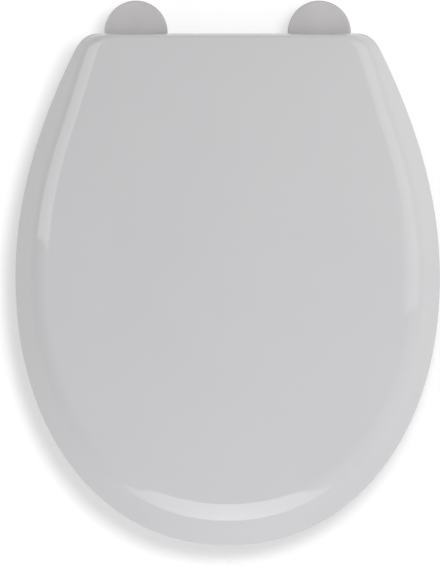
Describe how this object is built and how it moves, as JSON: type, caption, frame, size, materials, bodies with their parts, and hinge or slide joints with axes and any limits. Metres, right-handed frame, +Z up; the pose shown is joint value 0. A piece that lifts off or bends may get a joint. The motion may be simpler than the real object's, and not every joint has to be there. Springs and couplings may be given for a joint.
{
  "type": "toilet seat",
  "caption": "Closed toilet seat: crowned egg-shaped lid over a ring, soft-close hinges on posts that lift off round fixing discs.",
  "frame": {"origin": "midway between the two fixing bolts, on the face of the pan", "axes": "+X to the right seen from above, +Y to the rear, +Z up from the pan"},
  "size_m": [0.37, 0.475, 0.1068],
  "materials": {
    "white_thermoset": "glossy moulded thermoset",
    "pale_rubber": "soft moulded rubber",
    "satin_metal": "satin",
    "dark_rubber": "matt rubber",
    "steel": "plain stainless",
    "white_nylon": "as moulded",
    "hinge_plastic": "half-gloss moulded",
    "grey_plastic": "fine texture",
    "damper_plastic": "as moulded"
  },
  "bodies": {
    "fixings": {"left_cover_disc": "satin_metal", "right_cover_disc": "satin_metal", "left_gasket": "dark_rubber", "right_gasket": "dark_rubber", "left_base_plate": "steel", "right_base_plate": "steel", "left_stud": "steel", "right_stud": "steel", "left_bolt": "steel", "right_bolt": "steel", "left_cone_washer": "dark_rubber", "right_cone_washer": "dark_rubber", "left_wing_nut": "white_nylon", "right_wing_nut": "white_nylon"},
    "hinge_posts": {"left_post": "hinge_plastic", "right_post": "hinge_plastic", "left_catch_spring": "steel", "right_catch_spring": "steel", "lid_damper_body": "damper_plastic", "lid_damper_cap": "steel", "ring_damper_body": "damper_plastic", "ring_damper_cap": "steel", "left_ring_pin": "steel", "right_lid_pin": "steel"},
    "left_button": {"left_release_button": "grey_plastic"},
    "right_button": {"right_release_button": "grey_plastic"},
    "ring": {"seat_ring": "white_thermoset", "ring_buffers": "pale_rubber", "ring_damper_shaft": "steel", "left_ring_bush": "white_nylon"},
    "lid": {"lid": "white_thermoset", "lid_buffers": "pale_rubber", "lid_damper_shaft": "steel", "right_lid_bush": "white_nylon"}
  },
  "joints": [
    {"name": "hinge_lift", "type": "slide", "parent": "fixings", "child": "hinge_posts", "axis": [0, 0, 1], "range_m": [0, 0.03], "deforming": ["left_catch_spring", "right_catch_spring"]},
    {"name": "left_button_press", "type": "slide", "parent": "hinge_posts", "child": "left_button", "axis": [1, 0, 0], "range_m": [0, 0.0025], "stiffness_N_per_m": 1200, "springref_m": -0.001},
    {"name": "right_button_press", "type": "slide", "parent": "hinge_posts", "child": "right_button", "axis": [-1, 0, 0], "range_m": [0, 0.0025], "stiffness_N_per_m": 1200, "springref_m": -0.001},
    {"name": "ring_hinge", "type": "hinge", "parent": "hinge_posts", "child": "ring", "pos_m": [0, -0.0125, 0.033], "axis": [1, 0, 0], "range_deg": [-108, 0]},
    {"name": "lid_hinge", "type": "hinge", "parent": "ring", "child": "lid", "pos_m": [0, -0.0125, 0.033], "axis": [-1, 0, 0], "range_deg": [0, 108]}
  ]
}
